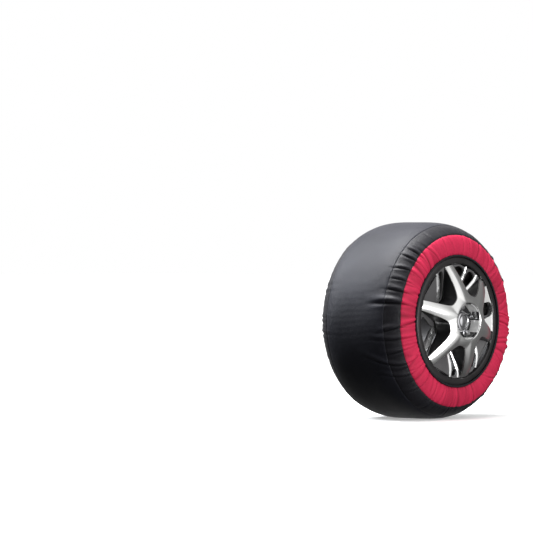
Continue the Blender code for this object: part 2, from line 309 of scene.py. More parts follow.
def grid_object(name, points, surface, body, fields, smooth_angle=180, closed_rows=False):
    """A surface from points[row][column], closed round the columns, and round the rows if asked."""
    index = np.arange(points[..., 0].size).reshape(points.shape[:2])
    below = np.roll(index, -1, axis=0)
    if not closed_rows:
        index, below = index[:-1], below[:-1]
    faces = np.stack([index, below, np.roll(below, -1, axis=1), np.roll(index, -1, axis=1)], axis=-1)
    mesh = bpy.data.meshes.new(name)
    mesh.from_pydata(points.reshape(-1, 3).tolist(), [], faces.reshape(-1, 4).tolist())
    for field, values in fields.items():
        layer = mesh.attributes.new(field, "FLOAT", "POINT")
        layer.data.foreach_set("value", np.asarray(values, np.float32).ravel())
    mesh.update()
    made = dressed(name, mesh, surface, body, smooth_angle)
    if closed_rows:
        outward(mesh)
    return made


def ring_object(name, section, surface, body, columns, smooth_angle=30):
    """Turn a closed section of (radius, depth) corners round the axle."""
    radii, depths = np.array(section).T[..., None]
    points = place(radii, depths, np.arange(columns) * 360 / columns)
    return grid_object(name, points, surface, body, {}, smooth_angle, True)


def skin(bm, loops, capped=False):
    """Faces from each loop of corners to the next; a loop may be one corner, and the ends may be capped."""
    for first, second in zip(loops, loops[1:]):
        for i in range(max(len(first), len(second))):
            quad = [first[i % len(first)], first[(i + 1) % len(first)]]
            quad += [second[(i + 1) % len(second)], second[i % len(second)]]
            bm.faces.new(list(dict.fromkeys(quad)))
    if capped:
        bm.faces.new(loops[0])
        bm.faces.new(loops[-1])


def round_axis(centre, radius, depth, angle):
    """A point round an axis that is parallel to the axle, at an angle in radians."""
    offset = Vector((radius * math.cos(angle), 0, radius * math.sin(angle)))
    return Vector((centre.x, MIDDLE_Y - depth, centre.z)) + offset


def lathe_object(name, section, centre, surface, body, segments=32, phase=0.0, smooth_angle=30):
    """Turn (radius, depth) corners that start and end on their own axis, which is parallel to the axle."""
    bm = bmesh.new()
    loops = []
    for radius, depth in section:
        angles = [math.tau * (i + phase) / segments for i in range(segments if radius > 0 else 1)]
        loops.append([bm.verts.new(round_axis(centre, radius, depth, angle)) for angle in angles])
    skin(bm, loops)
    return make_object(bm, name, surface, body, smooth_angle)


def bevelled(made, width, limit=30):
    """Round the edges of a piece that are sharper than a limit in degrees."""
    bevel = made.modifiers.new("edges", "BEVEL")
    bevel.width = width
    bevel.segments = 2
    bevel.limit_method = "ANGLE"
    bevel.angle_limit = math.radians(limit)
    return bevel


def rounded(section, radius, steps=3):
    """A closed section with each corner cut to an arc."""
    made = []
    count = len(section)
    for i in range(count):
        before = Vector(section[i - 1])
        here = Vector(section[i])
        after = Vector(section[(i + 1) % count])
        reach = min(radius, (before - here).length * 0.45, (after - here).length * 0.45)
        start = here + (before - here).normalized() * reach
        end = here + (after - here).normalized() * reach
        for j in range(steps + 1):
            t = j / steps
            point = start * (1 - t) ** 2 + here * 2 * t * (1 - t) + end * t**2
            made.append((point.x, point.y))
    return made


# -------- sock


def dense_section():
    """(section angle, radius, depth) along half of the sock, crown first, in small steps."""
    crown = np.degrees(np.arccos(np.linspace(0.0, 0.55, 500) ** (1 / FLATNESS)))
    side = np.linspace(crown[-1], OPENING, 700)[1:]
    angles = np.concatenate([crown, side])
    across = np.cos(np.radians(angles)) ** FLATNESS
    rise = np.sin(np.radians(angles))
    return angles, BULGE_RADIUS + (OUTER_RADIUS - BULGE_RADIUS) * rise, HALF_WIDTH * across


DENSE_ANGLE, DENSE_RADIUS, DENSE_DEPTH = dense_section()
DENSE_STEP = np.hypot(np.diff(DENSE_RADIUS), np.diff(DENSE_DEPTH))
DENSE_LENGTH = np.concatenate([[0.0], np.cumsum(DENSE_STEP)])
DENSE_SLOPES = (np.gradient(DENSE_RADIUS, DENSE_LENGTH), np.gradient(DENSE_DEPTH, DENSE_LENGTH))


def length_at(section):
    """Distance along the cloth from the crown to a section angle."""
    return float(np.interp(-section, -DENSE_ANGLE, DENSE_LENGTH))


def section_rows(lengths):
    """Radius, depth and outward normal at distances from the crown; negative is inboard."""
    side = np.where(lengths < 0, -1.0, 1.0)
    rows = (DENSE_RADIUS, DENSE_DEPTH, *DENSE_SLOPES)
    radius, depth, slope_r, slope_d = (np.interp(np.abs(lengths), DENSE_LENGTH, row) for row in rows)
    size = np.hypot(slope_r, slope_d)
    return radius, depth * side, slope_d / size, -slope_r / size * side


def cloth_points(turn, length, lift, beside=0.0, ground=0.0):
    """World points over the sock's smooth outline and beside it, kept above the ground."""
    r, d, normal_r, normal_d = section_rows(length)
    radius = r + normal_r * lift - normal_d * beside
    points = place(radius, d + normal_d * lift + normal_r * beside, turn)
    points[..., 2] = np.maximum(points[..., 2], ground)
    return points


def wrapped(angle):
    return (angle + 180.0) % 360.0 - 180.0


def bell(value):
    return np.exp(-(value**2))


def gathers(seed, count):
    """Centres, widths, heights, slants and reaches of the gathers round one side of the sock."""
    random = np.random.default_rng(seed)
    pitch = 360.0 / count
    return {
        "turn": (np.arange(count) + random.uniform(-0.42, 0.42, count)) * pitch,
        "width": pitch * random.uniform(0.14, 0.38, count),
        "height": random.uniform(0.2, 1.0, count) ** 1.6,
        "sharp": random.uniform(0.0, 1.0, count),
        "slant": random.normal(0, 0.55, count) * pitch,
        "inner": random.uniform(0.35, 1.0, count),
        "reach": random.uniform(10, 34, count) * MM,
    }


def strength_round(turn):
    """How strongly the cloth is gathered at a turn: most beside the camera's left, and at the right."""
    left = bell(wrapped(turn - 158) / 42)
    right = bell(wrapped(turn + 8) / 34)
    return 0.42 + 0.62 * left + 0.6 * right


OUTER_GATHERS = gathers(7, 52)
INNER_GATHERS = gathers(19, 56)

# Long folds pulled out of the outer seam, set where the photograph shows them: turn at the seam,
# turn at the far end, section angle of the far end, width in degrees, height in millimetres.
LONG_FOLDS = [
    (129.4, 128.0, 62, 1.5, 5.0),
    (135.2, 134.0, 62, 1.4, 5.0),
    (143.2, 144.6, 63, 1.3, 4.6),
    (151.0, 151.4, 62, 1.4, 3.2),
    (158.6, 158.0, 64, 1.5, 4.2),
    (166.0, 166.4, 79, 2.0, 9.5),
    (182.0, 184.4, 70, 1.6, 5.2),
    (189.6, 188.0, 77, 1.6, 4.6),
    (197.4, 197.6, 66, 1.4, 4.8),
    (206.8, 198.0, 86.5, 1.7, 5.2),
    (215.0, 208.4, 80, 1.6, 4.2),
    (227.5, 224.0, 62, 1.4, 2.6),
    (244.0, 242.0, 58, 1.6, 2.2),
    (262.0, 263.0, 60, 1.5, 2.4),
    (284.0, 282.0, 64, 1.5, 2.6),
    (303.0, 305.0, 60, 1.4, 3.2),
    (322.0, 321.0, 66, 1.5, 3.4),
    (342.0, 341.0, 62, 1.4, 5.4),
    (351.3, 350.6, 66, 1.3, 6.2),
    (1.5, 1.0, 60, 1.3, 5.4),
    (26.6, 27.4, 66, 1.5, 5.0),
    (45.0, 44.0, 58, 1.4, 4.0),
    (66.0, 67.0, 60, 1.4, 1.6),
    (112.0, 111.0, 58, 1.4, 1.8),
]


def crease_shape(offset, sharp=0.0):
    """Height of one tuck across its width: a roll or a crisp ridge with a narrow valley beside it."""
    crest = (1 - sharp) * bell(offset) + sharp * np.exp(-np.abs(offset) * 1.7)
    return crest - 0.95 * bell((offset - 1.15) / 0.5) + 0.35 * bell((offset - 2.1) / 0.8)


def gathered(turn, length, pleats, height, reach_share):
    """Height of the gathers, which are strongest at the panel seam and fade both ways."""
    past = length - length_at(PANEL_SEAM)
    inside = np.clip(past / (length_at(OPENING) - length_at(PANEL_SEAM)), 0, 1)
    relief = np.zeros_like(turn)
    for middle, width, share, sharp, slant, inner, reach in zip(*pleats.values()):
        offset = wrapped(turn - middle - slant * (inside - 0.2)) / width
        fade_in = 1 - (1 - inner) * inside
        fade_out = np.exp(-np.maximum(-past, 0) / (reach * reach_share))
        relief += height * share * crease_shape(offset, sharp) * fade_in * fade_out
    return relief


def edge_relief(turn, length, groove):
    """The grooves at both seams, and the small even puckers that the elastic pulls at the opening."""
    relief = -groove * bell((length - length_at(PANEL_SEAM)) / (2.6 * MM))
    relief = relief - 0.9 * MM * bell((length - length_at(TREAD_SEAM)) / (2.4 * MM))
    pull = np.exp(-np.maximum(length_at(OPENING) - length, 0) / (9 * MM))
    return relief + 0.75 * MM * beat(turn, 1.0, 0.5) * pull - 2.2 * MM * pull**3


def beat(turn, strong, weak):
    """The uneven beat of the elastic's puckers."""
    angle = np.radians(turn)
    return strong * np.sin(angle * 96) + weak * np.sin(angle * 61 + 1.3)


def outer_relief(turn, length):
    """Height of the outer cloth above its smooth outline, in metres."""
    seam = length_at(PANEL_SEAM)
    past = length - seam
    relief = gathered(turn, length, OUTER_GATHERS, 4.6 * MM, 1.0) * strength_round(turn)
    for start, end, far, width, height in LONG_FOLDS:
        back = np.clip(-past / (seam - length_at(far)), 0, 1.6)
        along = np.minimum(back, 1)
        centre = start + (end - start) * along**1.3
        offset = wrapped(turn - centre) / (width * (0.75 + 0.5 * along))
        on_panel = 0.55 * np.exp(-np.maximum(past, 0) / (26 * MM))
        on_shoulder = (0.55 + 0.45 * np.sin(along * math.pi)) * np.clip(1.25 - back, 0, 1) ** 1.2
        relief += height * MM * crease_shape(offset) * np.where(past > 0, on_panel, on_shoulder)
    return relief + edge_relief(turn, length, 1.6 * MM)


def inner_relief(turn, length):
    """Height of the inboard cloth above its smooth outline."""
    relief = gathered(turn, length, INNER_GATHERS, 3.8 * MM, 1.2)
    return relief + edge_relief(turn, length, 1.4 * MM)


def slack(turn, length):
    """Long soft unevenness of the cloth over the tread."""
    turn = np.radians(turn)
    wave = np.sin(3 * turn + 14 * length) + 0.7 * np.sin(7 * turn - 22 * length + 0.8)
    wave = wave + 0.45 * np.sin(13 * turn + 31 * length + 2.1)
    return 0.45 * MM * wave


def sock_relief(turn, length):
    relief = np.where(length >= 0, outer_relief(turn, length), inner_relief(turn, -length))
    return relief + slack(turn, length)


def seam_drift(turn, length):
    """How far the seams wander along the section, pulled by the gathers beside them."""
    angle = np.radians(turn)
    outer = 0.7 * np.sin(angle * 31 + 0.7) + 0.5 * np.sin(angle * 19) - 1.0
    strength = strength_round(turn)
    for middle, width, height in zip(*(OUTER_GATHERS[key] for key in ("turn", "width", "height"))):
        outer = outer + 3.2 * height * bell(wrapped(turn - middle) / (width * 1.7)) * strength
    inner = 1.3 * np.sin(angle * 29 + 1.9) + 1.0 * np.sin(angle * 43 + 0.4)
    near = bell((np.abs(length) - length_at(PANEL_SEAM)) / (9 * MM))
    return np.where(length >= 0, outer, -inner) * near * MM


def cloth_panel(name, start, end, rows, columns, surface, node):
    """One panel of the sock, between two distances from the crown."""
    turns = np.arange(columns) * 360.0 / columns
    length, turn = np.meshgrid(np.linspace(start, end, rows), turns, indexing="ij")
    length = length + seam_drift(turn, length)
    relief = sock_relief(turn, length)
    points = cloth_points(turn, length, relief, ground=CLOTH * 0.2)
    # The relief kept for the material's painted shade in the valleys and painted highlight on the ridges.
    painted_fold_shade = np.clip(relief / (5 * MM), -0.5, 0.5)
    made = grid_object(name, points, surface, "sock", {"along": length, "painted_fold_shade": painted_fold_shade})
    thick = made.modifiers.new("cloth", "SOLIDIFY")
    thick.thickness = CLOTH
    thick.offset = -1 if start < end else 1
    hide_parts(node)
    return made


def seam_line(name, at, surface, radius, node):
    """A round binding that follows the cloth's relief along a seam."""
    columns = 720
    turns = np.arange(columns) * 360.0 / columns
    length = at + seam_drift(turns, np.full(columns, at))
    relief = np.maximum(sock_relief(turns, length), -2 * MM) + 0.2 * MM
    angles = np.arange(8)[:, None] * math.tau / 8
    along = np.cos(angles) * radius * 1.9
    points = cloth_points(turns, length, relief + np.sin(angles) * radius, along)
    fields = {"along": np.broadcast_to(along, points.shape[:2]), "painted_fold_shade": np.zeros(points.shape[:2])}
    made = grid_object(name, points, surface, "sock", fields, closed_rows=True)
    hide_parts(node)


def stitches(name, at, surface, count):
    """A row of separate machine stitches that lies on the cloth; each is a short five-sided rod."""
    long, thick, lift = 3.4 * MM, 0.45 * MM, 0.35 * MM
    half_turn = math.degrees(long / 2 / float(section_rows(np.array([at]))[0][0]))
    middles = (np.arange(count)[:, None, None] + 0.5) * 360.0 / count
    turns = middles + np.array([-1.0, -0.5, 0.5, 1.0])[:, None] * half_turn
    length = at + seam_drift(turns, np.full(turns.shape, at))
    sink = np.array([-0.7, 0.0, 0.0, -0.7])[:, None] * thick
    around = np.arange(5) * math.tau / 5
    height = sock_relief(turns, length) + lift + sink + np.sin(around) * thick
    bm = bmesh.new()
    for rod in cloth_points(turns, length, height, np.cos(around) * thick * 1.3):
        skin(bm, [[bm.verts.new(corner) for corner in ring] for ring in rod], capped=True)
    make_object(bm, name, surface, "sock", 60)


def hem(name, side, surface, nodes):
    """The casing round the opening, puckered by the elastic inside it."""
    columns, rows = 1080, 14
    turns = np.arange(columns) * 360.0 / columns
    angles = np.arange(rows)[:, None] * math.tau / rows
    pucker = beat(turns, 0.35, 0.25)
    half = (3.6 + 0.5 * pucker) * MM
    radius = (HEM_RADIUS + 0.35 * pucker * MM) + np.cos(angles) * half
    points = place(radius, (HEM_DEPTH + np.sin(angles) * half) * side, turns)
    along = np.broadcast_to(np.sin(angles) * 4 * MM, points.shape[:2])
    # Painted shade in the dips of the puckers and painted highlight on their crests.
    painted_fold_shade = np.broadcast_to(pucker * 0.4, points.shape[:2])
    fields = {"along": along, "painted_fold_shade": painted_fold_shade}
    made = grid_object(name, points, surface, "sock", fields, closed_rows=True)
    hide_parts(*nodes)


def build_sock():
    tread_cloth = cloth_material(
        "tread_cloth", (0.003, 0.003, 0.005), (0.0255, 0.0262, 0.0345), 0.46, 1800, 0.1, 520, 0.3
    )
    black_cloth = cloth_material(
        "black_stretch_cloth", (0.002, 0.002, 0.003), (0.022, 0.0215, 0.026), 0.44, 2200, 0.1, None, 0.7
    )
    red_cloth = cloth_material(
        "red_stretch_cloth", (0.19, 0.006, 0.02), (0.65, 0.027, 0.085), 0.58, 2200, 0.05, None, 0.95
    )
    tape = cloth_material("black_tape", (0.006, 0.006, 0.007), (0.022, 0.022, 0.026), 0.6, 1500, 0.1)
    black_thread = rubber_material("black_thread", (0.015, 0.015, 0.018), 0.6)
    red_thread = rubber_material("red_thread", (0.42, 0.02, 0.05), 0.6)

    tread_edge = length_at(TREAD_SEAM)
    panel_edge = length_at(PANEL_SEAM)
    opening = length_at(OPENING)
    band = cloth_panel(
        "tread_band_cloth", -tread_edge, tread_edge, 96, 900, tread_cloth, "sock_tread_band"
    )
    outside = (1, "outer", 1440, red_cloth, red_thread, "red_fabric")
    inside = (-1, "inner", 960, black_cloth, black_thread, "shoulder_fabric")
    for side, label, columns, cloth, thread, slot in (outside, inside):
        start, seam, end = tread_edge * side, panel_edge * side, opening * side
        node = f"sock_{label}"
        shoulder = cloth_panel(
            f"{label}_shoulder_cloth", start, seam, 26, columns, black_cloth, f"{node}_shoulder",
        )
        panel = cloth_panel(
            f"{label}_side_panel_cloth", seam, end, 46, columns, cloth, f"{node}_side_panel"
        )
        seam_line(f"{label}_tread_binding", start, tape, 0.7 * MM, f"{node}_tread_seam_tape")
        seam_line(f"{label}_panel_binding", seam, tape, 1.4 * MM, f"{node}_panel_seam_tape")
        hem(f"{label}_hem_casing", side, tape, [f"{node}_hem", f"{node}_elastic"])
        stitches(f"{label}_hem_stitches", end - 7 * MM * side, thread, 280)
        back = 3.5 * MM * side
        stitches(f"{label}_panel_stitches", seam - back, black_thread, 340)
        stitches(f"{label}_tread_stitches", start - back, black_thread, 380)


# -------- wheel


def window_middle(number):
    """Turn of the middle of a window; the first follows the first spoke."""
    return FIRST_SPOKE + 360 / SPOKES * (number - 0.5)


def bolt_turn(index):
    return 90 + index * 360 / BOLTS


def face_depth(radius):
    """Depth of the wheel's domed face at a radius."""
    along = np.clip((radius - RECESS_RADIUS) / (SPOKE_END - RECESS_RADIUS), 0, 1)
    top = HUB_FRONT - 2 * MM
    return top - (top - SPOKE_END_DEPTH) * along**1.6


def half_spoke(radius):
    """Half of a spoke's width at a radius."""
    along = np.clip((radius - SPOKE_ROOT) / (SPOKE_END - SPOKE_ROOT), 0, 1)
    return (SPOKE_ROOT_WIDTH - SPOKE_NARROWING * along**0.6) / 2


def window_edge(count):
    """One window's inner edge, as (turn from the window's middle, radius), rim to hub to rim."""
    vee = 84 * MM
    offsets = np.linspace(-29.5, 29.5, 4001)
    radius = np.full(offsets.shape, 0.12)
    for _ in range(12):
        side = half_spoke(radius) / np.sin(np.radians(30.0 - np.abs(offsets)))
        radius = np.minimum((side**7 + vee**7) ** (1 / 7), 0.3)
    kept = radius <= SPOKE_END
    offsets, radius = offsets[kept], radius[kept]
    x = radius * np.cos(np.radians(offsets))
    y = radius * np.sin(np.radians(offsets))
    length = np.concatenate([[0], np.cumsum(np.hypot(np.diff(x), np.diff(y)))])
    at = np.linspace(0, length[-1], count)
    return np.interp(at, length, offsets), np.interp(at, length, radius)


def spine_path(count):
    """Down one spoke's middle line, round the hub recess and up the next spoke's middle line."""
    start = RECESS_RADIUS + 2 * MM
    straight = SPOKE_END - start
    arc = math.radians(60) * start
    at = np.linspace(0, 2 * straight + arc, count)
    first = at < straight
    last = at > straight + arc
    offset = np.interp(at, [0, straight, straight + arc, 2 * straight + arc], [-30, -30, 30, 30])
    radius = np.where(first, SPOKE_END - at, np.where(last, start + at - straight - arc, start))
    return offset, radius


def spoke_star(surface, side):
    """Six spokes and the hub's face as one closed body, with bright faces and dark side walls."""
    count, across = 97, 12
    edge_turn, edge_radius = window_edge(count)
    spine_turn, spine_radius = spine_path(count)
    recess_edge = spine_radius.min()
    bm = bmesh.new()
    for window in range(1, SPOKES + 1):
        middle = window_middle(window)
        columns = []
        for i in range(count):
            edge = spot(edge_radius[i], 0.0, middle + edge_turn[i])
            spine = spot(spine_radius[i], 0.0, middle + spine_turn[i])
            facing = (edge.x - spine.x) / max((edge - spine).length, MM)
            fall = min(1.0, max(0.3, 0.65 - 0.6 * facing))
            column = []
            for j in range(across + 1):
                share = (j / across) ** 1.25
                point = edge.lerp(spine, share)
                radius = math.hypot(point.x, point.z - AXLE_HEIGHT)
                lip = 2.5 * MM * max(0.0, 1 - (radius - recess_edge) / (4 * MM)) ** 2
                point.y = MIDDLE_Y - (float(face_depth(radius)) - spoke_crown(share) * fall - lip)
                column.append(bm.verts.new(point))
            shelf = column[0].co + Vector((0, 2.5 * MM, 0))
            low_edge = Vector((edge.x, MIDDLE_Y - SPOKE_BACK, edge.z))
            low_spine = Vector((spine.x, MIDDLE_Y - SPOKE_BACK, spine.z))
            columns.append(column[::-1] + [bm.verts.new(point) for point in (shelf, low_edge, low_spine)])
        for i in range(count - 1):
            first, second = columns[i], columns[i + 1]
            for j in range(len(first) - 1):
                face = bm.faces.new((first[j], first[j + 1], second[j + 1], second[j]))
                face.material_index = 1 if j > across else 0
            if max(spine_radius[i], spine_radius[i + 1]) < recess_edge + 0.05 * MM:
                bm.faces.new((first[-1], first[0], second[0], second[-1]))
    bmesh.ops.remove_doubles(bm, verts=bm.verts, dist=0.02 * MM)
    open_edges = [edge for edge in bm.edges if len(edge.link_faces) == 1]
    for face in bmesh.ops.holes_fill(bm, edges=open_edges, sides=0)["faces"]:
        face.material_index = 1
    made = make_object(bm, "spoke_star", surface, "wheel", 38)
    made.data.materials.append(side)
    bevelled(made, 1.1 * MM, 50).material = 1
    return made


def spoke_crown(share):
    """How far the spoke's surface falls from its crest towards its edge."""
    return 7 * MM * max(0.0, 1 - share / 0.85) ** 1.4


def hub_core(surface, dark):
    """The hub behind the star: mounting pad, bore, recess wall and pockets for the bolts."""
    section = [
        (BORE_RADIUS, RECESS_FLOOR),
        (RECESS_RADIUS, RECESS_FLOOR),
        (RECESS_RADIUS, HUB_FRONT - 6 * MM),
        (RECESS_RADIUS + 2.4 * MM, HUB_FRONT - 5 * MM),
        (RECESS_RADIUS + 14 * MM, HUB_FRONT - 12 * MM),
        (80 * MM, 172 * MM),
        (75 * MM, HUB_BACK),
        (BORE_RADIUS, HUB_BACK),
    ]
    made = ring_object("hub_core", rounded(section, 1.2 * MM, 2), surface, "wheel", 144, 35)
    bore = (7 * MM, BOLT_CIRCLE, HUB_BACK - 10 * MM, RECESS_FLOOR + 8 * MM)
    pocket = (POCKET_RADIUS, POCKET_CIRCLE, RECESS_FLOOR + 1 * MM, RECESS_FLOOR + 29 * MM)
    tools = []
    for i in range(BOLTS):
        for radius, circle, low, high in (bore, pocket):
            cut = [(0, low), (radius, low), (radius, high), (0, high)]
            centre = spot(circle, 0, bolt_turn(i))
            tools.append(lathe_object(f"pocket_tool_{len(tools)}", cut, centre, surface, "wheel"))
            cutter = made.modifiers.new("pocket", "BOOLEAN")
            cutter.operation = "DIFFERENCE"
            cutter.solver = "EXACT"
            cutter.object = tools[-1]
    bpy.context.view_layer.update()
    graph = bpy.context.evaluated_depsgraph_get()
    mesh = bpy.data.meshes.new_from_object(made.evaluated_get(graph), depsgraph=graph)
    made.modifiers.clear()
    made.data = mesh
    mesh.shade_smooth()
    mesh.set_sharp_from_angle(angle=math.radians(35))
    mesh.materials.append(dark)
    # Painted shade: the recess floor and the bolt pockets are black for the shade inside them; the hub's
    # outer part behind the star is black too.
    pockets = [spot(POCKET_CIRCLE, 0, bolt_turn(i)) for i in range(BOLTS)]
    for face in mesh.polygons:
        middle = face.center
        away = min(math.hypot(middle.x - p.x, middle.z - p.z) for p in pockets)
        outside = math.hypot(middle.x, middle.z - AXLE_HEIGHT) > RECESS_RADIUS + 8 * MM
        on_floor = MIDDLE_Y - middle.y < RECESS_FLOOR + 2.5 * MM
        if on_floor or away < POCKET_RADIUS + 0.6 * MM or outside:
            face.material_index = 1
    for tool in tools:
        bpy.data.objects.remove(tool, do_unlink=True)
    return made


def rim(surface):
    """The barrel with its rounded outer lip."""
    section = [(LIP_RADIUS, LIP_DEPTH), *in_mm((192, 173.8), (200, 173.2), (206, 171))]
    section += [(FLANGE_RADIUS, 167.5 * MM), (FLANGE_RADIUS - 0.6 * MM, 164 * MM)]
    section += in_mm((199, 162), (190.5, 160), (190.5, 138), (172, 112), (172, -60))
    section += in_mm((190.5, -138), (190.5, -160), (199, -162))
    section += [(FLANGE_RADIUS, -164 * MM), (FLANGE_RADIUS, -169 * MM)]
    section += [(SEAT_RADIUS, -166 * MM), (SEAT_RADIUS, -144 * MM), (WELL_RADIUS, -66 * MM)]
    section += [(WELL_RADIUS, 118 * MM), (SEAT_RADIUS, 146 * MM), (SEAT_RADIUS, 166 * MM)]
    made = ring_object("rim_and_lip", rounded(section, 2.5 * MM, 3), surface, "wheel", 240, 40)
    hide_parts("rim_barrel")


# Radii at which the slots' edges are given below.
EDGE_RADII = (88 * MM, 112 * MM, 137 * MM, 160 * MM, 182 * MM)

# For each window, its slots as two edges, and the edges' rail widths in millimetres. An edge is a row of
# shares of the half window at EDGE_RADII: -1 is the window's clockwise side and 1 the other side.
WINDOWS = {
    1: [
        ((-0.9, -0.9, -0.9, -0.86, -0.76), (-0.4, -0.34, -0.25, -0.2, -0.2), 11, 0),
        ((0.1, 0.1, 0.06, 0.02, 0.04), (0.7, 0.8, 0.86, 0.88, 0.84), 8, 0),
    ],
    2: [((-0.94, -0.94, -0.94, -0.93, -0.9), (0.3, -0.18, -0.38, -0.43, -0.44), 0, 15)],
    3: [
        ((-0.2, -0.45, -0.72, -0.84, -0.8), (0.02, 0.1, 0.34, 0.46, 0.44), 0, 0),
        ((-0.25, 0.5, 0.66, 0.68, 0.66), (0.92, 0.94, 0.95, 0.95, 0.92), 15, 0),
    ],
    4: [((0.34, 0.4, 0.42, 0.38, 0.28), (0.94, 0.97, 0.98, 0.95, 0.8), 11, 9)],
    5: [((-0.9, -0.9, -0.9, -0.88, -0.84), (0.7, 0.66, 0.5, 0.1, -0.4), 0, 9)],
    6: [((-0.9, -0.84, -0.62, -0.42, -0.34), (0.9, 0.84, 0.6, 0.36, 0.34), 0, 0)],
}
# The window whose web is silver where the others are grey: a painted highlight standing for the lit barrel
# wall behind it.
BRIGHT_WEB = 6
FLOOR_SLOT = ((-0.34,) * 5, (0.34,) * 5, 0, 0)
INSERT_RADII = (84 * MM, 184 * MM)
SLOT_START = 90 * MM

# Drops of an insert's three levels below its face, and a rail's profile in shares of its width and height.
WEB_DROPS = (0.0, 1.2 * MM, 7 * MM)
RAIL_PROFILE = ((-0.5, -0.8), (-0.5, 0.0), (-0.4, 0.2), (0.3, 1.05))
RAIL_PROFILE += ((0.42, 1.0), (0.5, 0.5), (0.5, 0.0), (0.5, -0.8))


def half_window(radius):
    return 30.0 - np.degrees(np.arcsin((half_spoke(radius) + 1.0 * MM) / radius))


def insert_depth(radius, number):
    """Depth of an insert's dished face, which is deepest at the hub; the sixth one is the shallowest."""
    along = (INSERT_RADII[1] - radius) / (INSERT_RADII[1] - INSERT_RADII[0])
    return (164 - 24 * along) * MM + (9 * MM if number == BRIGHT_WEB else 0.0)


def slot_end(number):
    """Outer end of an insert's slots; in the bright web they leave room for the valve."""
    return (184.2 if number == BRIGHT_WEB else 179) * MM


def slot_edges(slot, radius, end):
    """Both edges of a slot at a radius as shares of the half window; they meet in its round ends."""
    low = float(np.interp(radius, EDGE_RADII, slot[0]))
    high = float(np.interp(radius, EDGE_RADII, slot[1]))
    middle = (SLOT_START + end) / 2
    reach = (end - SLOT_START) / 2
    fullness = (1 - min(1.0, abs(radius - middle) / reach) ** 6) ** 0.5
    centre, half = (low + high) / 2, (high - low) / 2 * max(0.04, fullness)
    return centre - half, centre + half


def window_insert(number, slots, web, bright, sunk=0.0):
    """A dished web with round-ended slots, and bright rails along some of their edges."""
    end = slot_end(number)
    outer = max(INSERT_RADII[1], end + 0.4 * MM)
    rows = np.concatenate([[INSERT_RADII[0]], np.linspace(SLOT_START, end, 41), [outer]])
    bm = bmesh.new()
    levels = []
    for radius in rows:
        half = float(half_window(radius))
        face = float(insert_depth(radius, number)) - sunk
        shares = [-1.0]
        for slot in slots:
            shares += slot_edges(slot, radius, end)
        level = []
        for share in shares + [1.0]:
            turn = window_middle(number) + share * half
            level.append([bm.verts.new(place(radius, face - drop, turn)) for drop in WEB_DROPS])
        levels.append(level)
    last_row, last = len(rows) - 1, len(levels[0]) - 1
    walls = []
    for j in range(last_row):
        at_end = j in (0, last_row - 1)
        for k in range(last):
            if k % 2 == 0 or at_end:
                corners = [levels[j][k], levels[j][k + 1], levels[j + 1][k + 1], levels[j + 1][k]]
                bm.faces.new([corner[0] for corner in corners])
                bm.faces.new([corner[2] for corner in reversed(corners)])
        walls += [(levels[j][k], levels[j + 1][k]) for k in ((0, last) if at_end else range(last + 1))]
    for j, start, step in ((0, 0, 1), (last_row, 0, 1), (1, 1, 2), (last_row - 1, 1, 2)):
        walls += [(levels[j][k], levels[j][k + 1]) for k in range(start, last, step)]
    for first, second in walls:
        bm.faces.new((first[0], first[1], second[1], second[0]))
        bm.faces.new((first[1], first[2], second[2], second[1]))
    made = make_object(bm, f"window_{'floor' if sunk else 'web'}_{number}", web, "wheel", 30)
    if not sunk:
        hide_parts(f"window_insert_{number}")
    for index, slot in enumerate(slots):
        for edge in (0, 1):
            if slot[2 + edge]:
                rail(f"window_rail_{number}_{index * 2 + edge + 1}", number, slot, edge, bright)


def rail(name, number, slot, edge, bright):
    """A bright raised rib along one edge of a slot, broad in the middle and tapered to its ends."""
    wide, tall, steps = slot[2 + edge] * MM, 5 * MM, 40
    points = []
    for radius in np.linspace(SLOT_START + 1 * MM, slot_end(number) + 3 * MM, steps + 1):
        share = float(np.interp(radius, EDGE_RADII, slot[edge]))
        turn = window_middle(number) + share * float(half_window(radius))
        points.append(spot(radius, float(insert_depth(radius, number)), turn))
    out = Vector((0, -1, 0))
    bm = bmesh.new()
    rings = []
    for i, point in enumerate(points):
        ahead = points[min(i + 1, steps)] - points[max(i - 1, 0)]
        side = ahead.cross(out).normalized()
        crest = 1 if side.x > 0.6 * side.z else -1
        taper = 0.25 + 0.75 * math.sin(math.pi * (0.06 + 0.86 * i / steps)) ** 0.6
        ring = []
        for across, up in RAIL_PROFILE:
            ring.append(bm.verts.new(point + (side * across * crest * wide + out * up * tall) * taper))
        rings.append(ring)
    skin(bm, rings, capped=True)
    make_object(bm, name, bright, "wheel", 50)


def bolts(surface):
    """Flanged hexagon bolts in their seats."""
    body = [(0, -68), (6, -68), (6, 0), (11, 0.4), (11, 2.4), (9.4, 3.4), (0, 3.4)]
    head = [(0, 3), (9.2, 3), (9.2, 14.5), (7.8, 16), (4, 16), (3.4, 14), (0, 13.4)]
    body, head = in_mm(*body, base=RECESS_FLOOR), in_mm(*head, base=RECESS_FLOOR)
    for i in range(BOLTS):
        centre = spot(BOLT_CIRCLE, 0, bolt_turn(i))
        flange = lathe_object(f"bolt_flange_{i + 1}", body, centre, surface, "wheel")
        nut = lathe_object(f"bolt_head_{i + 1}", head, centre, surface, "wheel", 6, i * 0.3, 20)
        bevelled(nut, 0.5 * MM)
        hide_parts(f"wheel_bolt_{i + 1}")


def cap(surface, dark):
    """The centre cap: a stepped disc with a dished middle and a dark ring."""
    seat = RECESS_FLOOR + 0.3 * MM
    section = [(0, -18), (32, -18), (32.4, -16), (32.4, 0), (35, 0), (35, 5), (34, 6.4), (31, 8)]
    section += [(30, 14), (28.6, 16.4), (25, 17.6), (22, 17.4), (20, 16), (14, 17.6), (7, 18.6), (0, 19)]
    section = in_mm(*section, base=seat)
    made = lathe_object("centre_cap_shell", section, spot(0, 0, 0), surface, "centre_cap", 96, 0, 25)
    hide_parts("centre_cap")
    groove = in_mm((21.4, 15.2), (21.4, 16.5), (18.6, 16.5), (18.6, 15.2), base=seat)
    ring = ring_object("centre_cap_ring", groove, dark, "centre_cap", 96)


